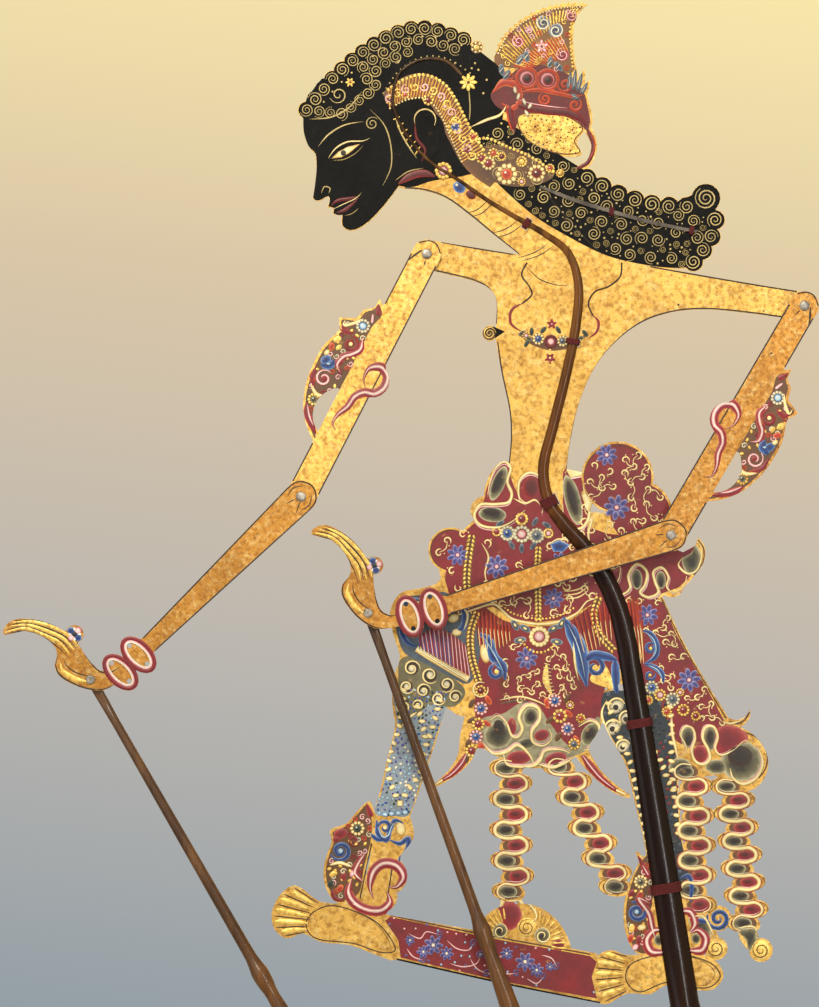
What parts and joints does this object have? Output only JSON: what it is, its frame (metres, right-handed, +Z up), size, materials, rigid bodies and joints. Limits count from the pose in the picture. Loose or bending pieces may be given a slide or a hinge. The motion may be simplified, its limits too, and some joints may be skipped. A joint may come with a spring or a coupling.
{
  "type": "rod puppet",
  "caption": "Flat leather shadow puppet clamped in a split horn rod, with jointed arms worked by two thin hand rods.",
  "frame": {"origin": "on the axis of the main rod, in the middle of its grip", "axes": "+X to the viewer's right, +Z up the figure, painted front facing -Y"},
  "size_m": [0.4878, 0.0711, 0.7809],
  "materials": {
    "gilt_hide": "gilded and painted",
    "brown_horn": "polished horn",
    "dark_horn": "polished horn",
    "red_thread": "wound thread",
    "grey_metal": "dull metal",
    "bone": "bone"
  },
  "bodies": {
    "figure": {"body_hide": "gilt_hide", "main_rod": "brown_horn", "neck_lashing": "red_thread", "chest_lashing": "red_thread", "waist_lashing": "red_thread", "hip_lashing": "red_thread", "ankle_lashing": "red_thread", "brace_tie_inner": "red_thread", "brace_tie_outer": "red_thread", "hair_brace_front": "dark_horn", "hair_brace_back": "dark_horn", "left_shoulder_rivet": "grey_metal", "left_shoulder_washer": "bone", "left_shoulder_spacer": "bone", "right_shoulder_rivet": "grey_metal", "right_shoulder_washer": "bone", "right_shoulder_spacer": "bone"},
    "left_upper_arm": {"left_upper_arm": "gilt_hide", "left_elbow_rivet": "grey_metal", "left_elbow_washer": "bone"},
    "left_forearm": {"left_forearm": "gilt_hide"},
    "left_hand_pin": {"left_hand_pin": "grey_metal"},
    "left_hand_rod": {"left_hand_rod": "brown_horn"},
    "right_upper_arm": {"right_upper_arm": "gilt_hide", "right_elbow_rivet": "grey_metal", "right_elbow_washer": "bone"},
    "right_forearm": {"right_forearm": "gilt_hide"},
    "right_hand_pin": {"right_hand_pin": "grey_metal"},
    "right_hand_rod": {"right_hand_rod": "brown_horn"}
  },
  "joints": [
    {"name": "left_shoulder", "type": "hinge", "parent": "figure", "child": "left_upper_arm", "pos_m": [-0.164, -0.0032, 0.5075], "axis": [0, 1, 0], "range_deg": [-30, 110]},
    {"name": "left_elbow", "type": "hinge", "parent": "left_upper_arm", "child": "left_forearm", "pos_m": [-0.239, -0.0209, 0.362], "axis": [0, 1, 0], "range_deg": [-60, 130]},
    {"name": "left_rod_swivel", "type": "hinge", "parent": "left_forearm", "child": "left_hand_pin", "pos_m": [-0.3645, -0.0209, 0.253], "axis": [0, 1, 0], "range_deg": [-30, 60]},
    {"name": "left_rod_lean", "type": "hinge", "parent": "left_hand_pin", "child": "left_hand_rod", "pos_m": [-0.3645, -0.0178, 0.253], "axis": [-0.8632, 0, -0.5049], "range_deg": [0, 4.5]},
    {"name": "right_shoulder", "type": "hinge", "parent": "figure", "child": "right_upper_arm", "pos_m": [0.0625, -0.0032, 0.4765], "axis": [0, 1, 0], "range_deg": [-100, 12]},
    {"name": "right_elbow", "type": "hinge", "parent": "right_upper_arm", "child": "right_forearm", "pos_m": [-0.018, -0.01206, 0.339], "axis": [0, 1, 0], "range_deg": [-110, 12]},
    {"name": "right_rod_swivel", "type": "hinge", "parent": "right_forearm", "child": "right_hand_pin", "pos_m": [-0.1991, -0.01206, 0.29248], "axis": [0, 1, 0], "range_deg": [-30, 60]},
    {"name": "right_rod_lean", "type": "hinge", "parent": "right_hand_pin", "child": "right_hand_rod", "pos_m": [-0.1991, -0.00836, 0.29248], "axis": [-0.9409, 0, -0.3387], "range_deg": [0, 4.5]}
  ]
}
